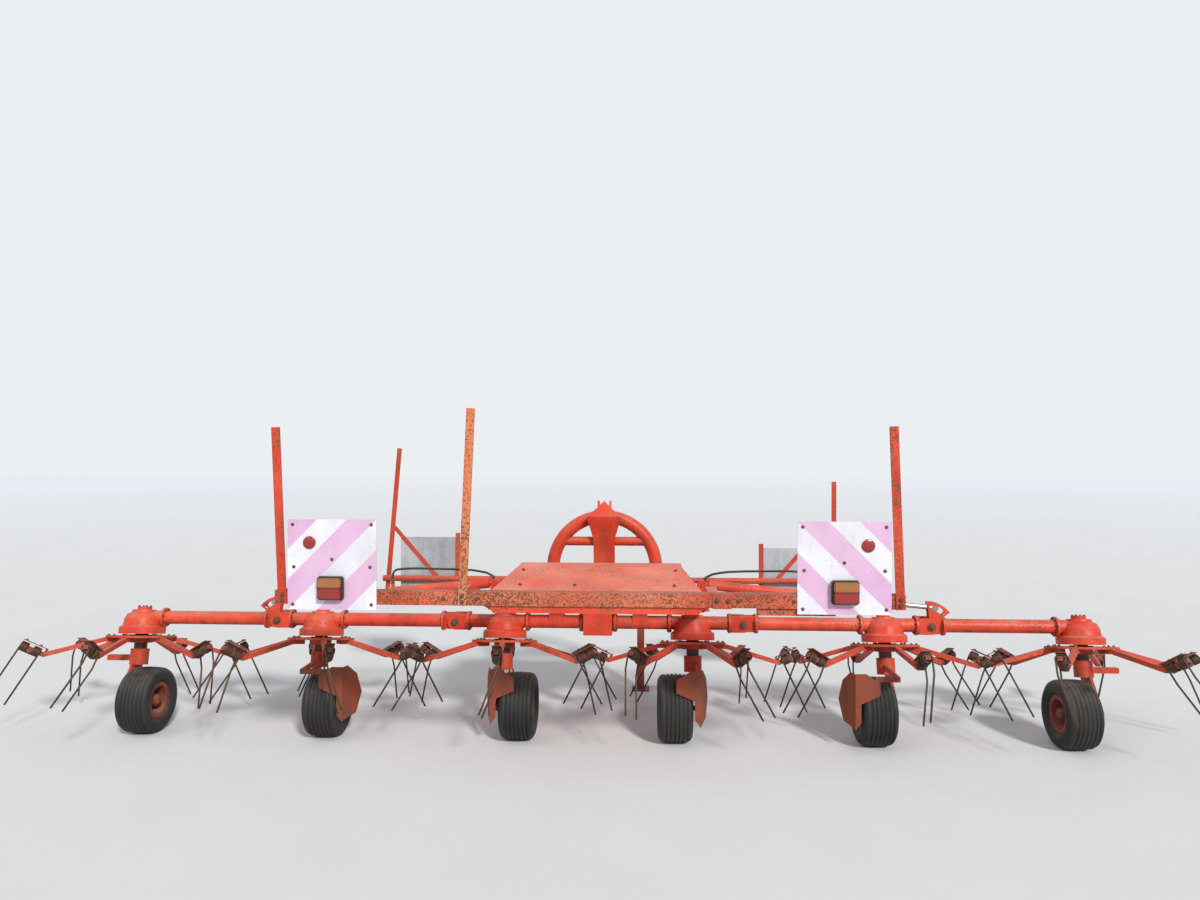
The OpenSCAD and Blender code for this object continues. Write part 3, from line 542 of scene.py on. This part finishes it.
def lens_material(name, colour):
    """Ribbed lamp plastic: painted shade darkens it in bands along the ribs, and dirt with painted underside
    shade lies over it.
    """
    tree, shader = new_material(name)
    masks = wear(tree, 0.1, 0.3, 0.5)
    place = add_node(tree, "ShaderNodeTexCoord").outputs["Object"]
    wave = add_node(tree, "ShaderNodeTexWave", {"Scale": 60.0, "Vector": place}, bands_direction="X")
    ribs = wave.outputs["Fac"]
    # Painted shade: the lens darkens in the rib grooves.
    shade = mix(tree, span(tree, ribs, 0, 1, 0.0, 0.45), colour, (0.08, 0.02, 0.01, 1))
    # Dirt streaks, with painted shade on faces that point down.
    shade = mix(tree, masks["GrimeAndUndersideShade"], shade, SOIL_AND_SHADE)
    tree.links.new(shade, shader.inputs["Base Color"])
    tree.links.new(span(tree, masks["GrimeAndUndersideShade"], 0, 1, 0.14, 0.6), shader.inputs["Roughness"])
    shader.inputs["Coat Weight"].default_value = 0.5
    set_bump(tree, shader, ribs, 0.3, 0.001)


FINISHES = {
    "hood": "hood_paint_painted_glare", "guard_bar": "speckled_paint", "rear_posts": "post_paint",
    "parking_leg": "worn_paint", "rear_boards": "boards", "front_boards": "pale_sheet",
    "lift_rod": "plated", "lift_hose": "hose_rubber", "tines": "spring_steel", "fork": "post_paint",
    "rim": "worn_paint", "tyre": "rubber", "rotor": "post_paint", "tail_lamps": "black_case",
    "board_rack": "post_paint",
}


def finish_of(name):
    """Material of a construction node, by the longest start of its name."""
    starts = [start for start in FINISHES if name.startswith(start)]
    return FINISHES[max(starts, key=len)] if starts else "paint"


def smooth_by_angle(piece, degrees=32):
    """Smooths faces and keeps edges sharper than the angle crisp."""
    mesh = piece.data
    bm = bmesh.new()
    bm.from_mesh(mesh)
    sharp = [e.index for e in bm.edges if not e.is_manifold or e.calc_face_angle(0) > math.radians(degrees)]
    bm.free()
    mesh.polygons.foreach_set("use_smooth", [True] * len(mesh.polygons))
    for index in sharp:
        mesh.edges[index].use_edge_sharp = True


class TEDDER_OT_tines(bpy.types.Operator):
    """Wind the double spring tines of every rotor, with their clamps and bolts"""

    bl_idname = "tedder.tines"
    bl_label = "Spring tines"

    def execute(self, context):
        sizes = context.scene.tedder_sizes
        for i in ROTORS:
            mould = Mould()
            for arm in arm_matrices(i):
                end = arm_end(arm)
                at_coils = end @ Matrix.Translation((COIL_AT, 0, 0))
                mould.tube(tine_wire(-spin(i), sizes.turns, sizes.wire), sizes.wire, at_coils)
                mould.box((-0.014, -0.015, -0.019), (0.014, 0.015, -0.013), at_coils, 1)
                mould.bolt(at_coils @ Matrix.Translation((0, 0, -0.019)) @ turn("X", 180), 0.0075, 1)
                for x in (COIL_AT - 0.04, COIL_AT + 0.04):
                    mould.bolt(end @ Matrix.Translation((x, 0, COVER_TOP)), 0.007, 1)
                for r in (0.150, 0.178):
                    mould.bolt(arm @ Matrix.Translation((r, 0, DISC_TOP)), 0.008, 1)
            mould.finish(f"spring_tines_{i}", ["spring_steel", "bolt_steel"], f"rotor_{i}",
                         [f"tines_{i}"])
        return {"FINISHED"}


def tine_wire(trailing, turns, wire):
    """One wire: leg, coil, bridge under the arm, coil and leg. Trailing is the side the legs slant to."""
    radius = COIL_R - wire
    end_x = COIL_GAP / 2 + COIL_L - wire
    total = 2 * math.pi * (turns + 0.75)
    last = math.pi if trailing > 0 else 0.0
    steps = 14 * turns
    slant = turn("X", trailing * LEG_LAG)

    def half(side, leg):
        points = [Vector((side * (COIL_GAP / 2 + wire * 0.2), 0, -radius))]
        for k in range(steps + 1):
            share = k / steps
            angle = last - trailing * total * (1 - share)
            x = COIL_GAP / 2 + wire * 0.6 + (end_x - COIL_GAP / 2 - wire * 0.6) * share
            points.append(Vector((side * x, radius * math.cos(angle), radius * math.sin(angle))))
        foot = Vector((side * end_x, points[-1].y, -leg))
        knee = points[-1].lerp(foot, 0.24) + Vector((0, -trailing * KNEE, 0))
        points += [points[-1].lerp(foot, 0.02), knee, foot]
        return [slant @ p for p in points]

    return half(-1, LEG_L)[::-1] + half(1, OUTER_LEG_L)


class TEDDER_OT_wheels(bpy.types.Operator):
    """Grooved tyres, hub caps and wheel bolts"""

    bl_idname = "tedder.wheels"
    bl_label = "Wheels"

    def execute(self, context):
        sizes = context.scene.tedder_sizes
        for i in ROTORS:
            low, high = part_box(f"tyre_{i}")
            centre = (low + high) / 2
            half_w, radius = (high.x - low.x) / 2, (high.z - low.z) / 2
            axle = Matrix.Translation(centre) @ turn("Y", 90)
            mould = Mould()
            mould.ring(tyre_outline(radius, half_w, sizes.grooves, sizes.groove_depth), axle, 0, 96)
            mould.finish(f"tyre_tread_{i}", ["rubber"], f"wheel_{i}", [f"tyre_{i}"])
            caps = Mould()
            for face in (-1, 1):
                side = axle @ turn("X", 0 if face > 0 else 180)
                cap = [(0.030, HUB_REACH - 0.004), (0.030, HUB_REACH + 0.006), (0.022, HUB_REACH + 0.014),
                       (0.004, HUB_REACH + 0.016)]
                caps.lathe(cap, side, 1, 28)
                seat = 0.001 if face < 0 else -0.006
                for k in range(5):
                    caps.bolt(side @ turn("Z", 72 * k) @ Matrix.Translation((0.058, 0, seat)), 0.008, 0)
            caps.finish(f"hub_caps_{i}", ["bolt_steel", "worn_paint"], f"wheel_{i}")
        return {"FINISHED"}


def tyre_outline(radius, half_w, grooves, depth):
    """Closed outline as (radius, place along the axle): grooved tread, round shoulders, bulged walls."""
    bead = 0.104
    tread = half_w * 0.70
    crown = 0.004
    points = []
    pitch = 2 * tread / grooves
    for k in range(grooves):
        left = -tread + k * pitch
        for share, drop in ((0.06, 0), (0.60, 0), (0.68, depth), (0.92, depth)):
            x = left + share * pitch
            points.append((radius - crown * (x / tread) ** 2 - drop, x))
    shoulder = [(radius - crown, tread), (radius - 0.012, half_w * 0.86), (radius - 0.030, half_w * 0.97),
                (radius - 0.048, half_w), (bead + 0.022, half_w * 0.95), (bead + 0.008, half_w * 0.82),
                (bead, half_w * 0.72)]
    other = [(r, -x) for r, x in reversed(shoulder)]
    return other + points + shoulder


class TEDDER_OT_fasteners(bpy.types.Operator):
    """Bolts of the flanges, cases, hinges, guard bar, posts and hood"""

    bl_idname = "tedder.fasteners"
    bl_label = "Fasteners"

    def execute(self, context):
        for body, beam in beam_flanges().items():
            mould = Mould()
            for x in beam:
                for face in (-1, 1):
                    seat = Matrix.Translation((LINE_X + x + face * FLANGE_T / 2, LINE_Y, BEAM_Z))
                    seat = seat @ turn("Y", 90 * face)
                    for k in range(8):
                        hole = seat @ turn("Z", 22.5 + 45 * k) @ Matrix.Translation((0.049, 0, 0))
                        mould.bolt(hole, 0.0062)
            for i in ROTORS:
                if beam_body(i) == body:
                    for k in range(4):
                        mould.bolt(rotor_matrix(i) @ turn("Z", 45 + 90 * k)
                                   @ Matrix.Translation((0.032, 0, CASE_TOP)), 0.0075)
            for x in hinge_pins(body):
                for face in (-1, 1):
                    end = Matrix.Translation((x, LINE_Y + face * 0.058, BEAM_Z))
                    mould.bolt(end @ turn("X", -90 * face), 0.016)
            if body == "frame":
                dress_guard(mould)
                dress_hood(mould)
            mould.finish(f"bolts_{body}", ["bolt_steel", "speckled_paint"], body)
        return {"FINISHED"}


def dress_guard(mould):
    """Bolted clamps where the guard bar's lengths meet, and bolts along the bar and where its posts stand."""
    low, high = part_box("guard_bar")
    posts_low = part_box("rear_posts")[0]
    middle = high.z - GUARD_BAR / 2
    for x in GUARD_CLAMPS:
        at = Matrix.Translation((LINE_X + x, low.y, middle))
        mould.box((-0.045, -0.005, -0.036), (0.045, 0.002, 0.030), at, 1)
        for side in (-0.026, 0.026):
            mould.bolt(at @ Matrix.Translation((side, -0.005, 0)) @ turn("X", 90), 0.0085)
    for x in GUARD_BOLTS:
        mould.bolt(Matrix.Translation((LINE_X + x, low.y, middle)) @ turn("X", 90), 0.0075)
    for x in POST_FEET:
        for up in (0.018, 0.046):
            seat = Matrix.Translation((LINE_X + x, posts_low.y, high.z - GUARD_BAR + up))
            mould.bolt(seat @ turn("X", 90), 0.0085)


def dress_hood(mould):
    """Bolts through the hood's slope near its side edges."""
    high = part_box("hood")[1]
    slope = math.atan2(HOOD_RISE, HOOD_RUN)
    for share, x in HOOD_BOLTS:
        place = Vector((LINE_X + x, LINE_Y + HOOD_REAR + share * HOOD_RUN, high.z - HOOD_RISE * (1 - share)))
        mould.bolt(Matrix.Translation(place) @ turn("X", math.degrees(slope)), 0.009)


def beam_flanges():
    """Middles of the flanges along X, by the body that they ride on."""
    half = FLANGE_T / 2
    centre, inner, outer = (
        JOINTS[f"spin_{i}"]["pos_m"][0] - LINE_X - CASE_R - FLANGE_BEHIND_CASE for i in (4, 5, 6)
    )
    right = {
        "frame": [0.100, centre, INNER_HINGE - HINGE_REACH - half],
        "inner_beam": [INNER_HINGE + HINGE_REACH + half, inner, OUTER_HINGE - HINGE_REACH - half],
        "outer_beam": [OUTER_HINGE + HINGE_REACH + half, outer],
    }
    made = {"frame": [s * x for s in (-1, 1) for x in right["frame"]]}
    for name, s in SIDES.items():
        for part in ("inner_beam", "outer_beam"):
            made[f"{part}_{name}"] = [s * x for x in right[part]]
    return made


def hinge_pins(body):
    """Places along X of the hinge pins that ride on a body."""
    return [
        joint["pos_m"][0] for joint in JOINTS.values()
        if joint["child"] == body and joint["name"].startswith(("fold", "follow"))
    ]


class TEDDER_OT_boards(bpy.types.Operator):
    """Rear lamps, reflectors and the bolts of the boards"""

    bl_idname = "tedder.boards"
    bl_label = "Boards and lamps"

    def execute(self, context):
        low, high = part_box("rear_boards")
        lamp_low, lamp_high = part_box("tail_lamps")
        mould = Mould()
        outer = high.x - LINE_X
        for s in (-1, 1):
            facing = Matrix.Translation((LINE_X + s * (outer - 0.105), low.y, (low.z + high.z) / 2 + 0.103))
            reflector = [(0.030, -0.001), (0.030, 0.005), (0.026, 0.008), (0.004, 0.0085)]
            mould.lathe(reflector, facing @ turn("X", 90), 0, 40)
            for inset, up in BOARD_BOLTS:
                seat = Matrix.Translation((LINE_X + s * (outer - inset), low.y, low.z + up)) @ turn("X", 90)
                mould.bolt(seat, 0.006, 1)
        mould.finish("reflectors", ["red_lens", "bolt_steel"], "frame")
        lamps = Mould()
        half_w = LAMP_HALF_W
        centre_x = lamp_high.x - LINE_X - half_w
        middle = lamp_low.z + (lamp_high.z - lamp_low.z) * 0.52
        lenses = ((lamp_low.z + 0.006, middle - 0.001, 2), (middle + 0.001, lamp_high.z - 0.006, 1))
        for s in (-1, 1):
            at = Matrix.Translation((LINE_X + s * centre_x, 0, 0))
            lamps.box((-half_w, lamp_low.y + 0.014, lamp_low.z), (half_w, lamp_high.y, lamp_high.z), at, 0,
                      0.006)
            for z0, z1, lens in lenses:
                lamps.box((-half_w + 0.006, lamp_low.y, z0), (half_w - 0.006, lamp_low.y + 0.02, z1), at,
                          lens, 0.005)
        lamps.finish("lamps", ["black_case", "amber_lens", "red_lens"], "frame", ["tail_lamps"])
        return {"FINISHED"}


class TEDDER_OT_hoses(bpy.types.Operator):
    """Hydraulic hoses of the two lift cylinders"""

    bl_idname = "tedder.hoses"
    bl_label = "Lift hoses"

    def execute(self, context):
        radius = context.scene.tedder_sizes.hose
        for name, s in SIDES.items():
            base = Vector(JOINTS[f"lift_swing_{name}"]["pos_m"])
            along = Vector(JOINTS[f"lift_stroke_{name}"]["axis"])
            up = Vector((0, 1, 0)).cross(along) * -s
            points = [base + (along * a + Vector((0, 1, 0)) * b + up * c) / 1000 for a, b, c in HOSE]
            hose = hose_curve(f"hose_{name}", points, radius)
            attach(hose, f"lift_barrel_{name}")
            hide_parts(f"lift_hose_{name}")
            hose_ends(name, points, radius)
        return {"FINISHED"}


def hose_ends(name, points, radius):
    """Crimped ferrule with a hexagon nut at each end of a hose."""
    mould = Mould()
    for end, beside in ((points[0], points[1]), (points[-1], points[-2])):
        at = Matrix.Translation(end) @ (beside - end).to_track_quat("Z", "Y").to_matrix().to_4x4()
        mould.lathe([(radius * 1.75, -0.001), (radius * 1.75, 0.010)], at, 0, 6, smooth=False)
        mould.lathe([(radius * 1.4, 0.009), (radius * 1.4, 0.026), (radius * 1.12, 0.030)], at, 0, 24)
    return mould.finish(f"hose_ends_{name}", ["bolt_steel"], f"lift_barrel_{name}")


def hose_curve(name, points, radius):
    curve = bpy.data.curves.new(name, "CURVE")
    curve.dimensions = "3D"
    curve.bevel_depth = radius
    curve.bevel_resolution = 3
    curve.use_fill_caps = True
    spline = curve.splines.new("POLY")
    spline.points.add(len(points) - 1)
    for point, place in zip(spline.points, points):
        point.co = (*place, 1)
    curve.materials.append(bpy.data.materials["hose_rubber"])
    made = bpy.data.objects.new(name, curve)
    bpy.context.scene.collection.objects.link(made)
    return made


class TEDDER_OT_studio(bpy.types.Operator):
    """Camera, pale floor and soft light"""

    bl_idname = "tedder.studio"
    bl_label = "Studio"

    def execute(self, context):
        scene = context.scene
        studio = scene.tedder_studio
        camera = bpy.data.objects.new("camera", bpy.data.cameras.new("camera"))
        camera.location = (LINE_X + studio.camera_side, LINE_Y - studio.camera_back, studio.camera_height)
        camera.rotation_euler = (math.radians(90 - CAMERA_DIP), 0, math.radians(CAMERA_YAW))
        camera.data.lens = studio.lens
        scene.collection.objects.link(camera)
        scene.camera = camera
        make_floor(scene)
        make_light(scene, "sun", (58, 0, 28), 3.0, 7)
        make_light(scene, "fill", (48, 0, -50), 0.6, 40)
        make_world(scene)
        scene.view_settings.view_transform = "Standard"
        return {"FINISHED"}


def make_floor(scene):
    """Pale floor that meets the sky's tone with distance."""
    tree, shader = new_material("floor")
    place = add_node(tree, "ShaderNodeTexCoord").outputs["Object"]
    colour = mix(tree, noise(tree, place, 1.5, 6), (0.66, 0.65, 0.63, 1), (0.72, 0.71, 0.69, 1))
    away = add_node(tree, "ShaderNodeVectorMath", {0: place}, operation="LENGTH").outputs["Value"]
    colour = mix(tree, span(tree, away, 5.0, 34.0), colour, (0.755, 0.77, 0.785, 1))
    tree.links.new(colour, shader.inputs["Base Color"])
    shader.inputs["Roughness"].default_value = 0.9
    mesh = bpy.data.meshes.new("floor")
    reach = 40.0
    corners = [(-reach, -reach, 0), (reach, -reach, 0), (reach, reach, 0), (-reach, reach, 0)]
    mesh.from_pydata(corners, [], [(0, 1, 2, 3)])
    mesh.materials.append(bpy.data.materials["floor"])
    floor = bpy.data.objects.new("floor", mesh)
    scene.collection.objects.link(floor)


def make_light(scene, name, angles, strength, softness):
    light = bpy.data.lights.new(name, "SUN")
    light.energy = strength
    light.angle = math.radians(softness)
    lamp = bpy.data.objects.new(name, light)
    lamp.rotation_euler = [math.radians(a) for a in angles]
    scene.collection.objects.link(lamp)


def make_world(scene):
    """Soft sky: one level for light, a paler one for what the camera and reflections see."""
    world = bpy.data.worlds.new("studio")
    world.use_nodes = True
    scene.world = world
    tree = world.node_tree
    back = tree.nodes["Background"]
    path = add_node(tree, "ShaderNodeLightPath").outputs
    seen = maths(tree, "MAXIMUM", path["Is Camera Ray"], path["Is Glossy Ray"])
    colour = mix(tree, path["Is Camera Ray"], (0.86, 0.91, 1.0, 1), (0.84, 0.86, 0.88, 1))
    tree.links.new(colour, back.inputs["Color"])
    tree.links.new(span(tree, seen, 0, 1, 0.46, 1.0), back.inputs["Strength"])


class TEDDER_PT_panel(bpy.types.Panel):
    bl_label = "Hay tedder"
    bl_idname = "TEDDER_PT_panel"
    bl_space_type = "VIEW_3D"
    bl_region_type = "UI"
    bl_category = "Tedder"

    def draw(self, context):
        for group in (context.scene.tedder_colours, context.scene.tedder_sizes, context.scene.tedder_studio):
            for name in group.bl_rna.properties.keys():
                if name not in ("rna_type", "name"):
                    self.layout.prop(group, name)
        for operator in OPERATORS:
            self.layout.operator(operator.bl_idname)


OPERATORS = [TEDDER_OT_finishes, TEDDER_OT_tines, TEDDER_OT_wheels, TEDDER_OT_fasteners, TEDDER_OT_boards,
             TEDDER_OT_hoses, TEDDER_OT_studio]
CLASSES = [TEDDER_PG_colours, TEDDER_PG_sizes, TEDDER_PG_studio, *OPERATORS, TEDDER_PT_panel]


def register():
    for cls in CLASSES:
        bpy.utils.register_class(cls)
    bpy.types.Scene.tedder_colours = PointerProperty(type=TEDDER_PG_colours)
    bpy.types.Scene.tedder_sizes = PointerProperty(type=TEDDER_PG_sizes)
    bpy.types.Scene.tedder_studio = PointerProperty(type=TEDDER_PG_studio)


def unregister():
    del bpy.types.Scene.tedder_studio
    del bpy.types.Scene.tedder_sizes
    del bpy.types.Scene.tedder_colours
    for cls in reversed(CLASSES):
        bpy.utils.unregister_class(cls)


def main():
    register()
    bpy.ops.tedder.finishes()
    bpy.ops.tedder.tines()
    bpy.ops.tedder.wheels()
    bpy.ops.tedder.fasteners()
    bpy.ops.tedder.boards()
    bpy.ops.tedder.hoses()
    bpy.ops.tedder.studio()


if __name__ == "__main__":
    main()
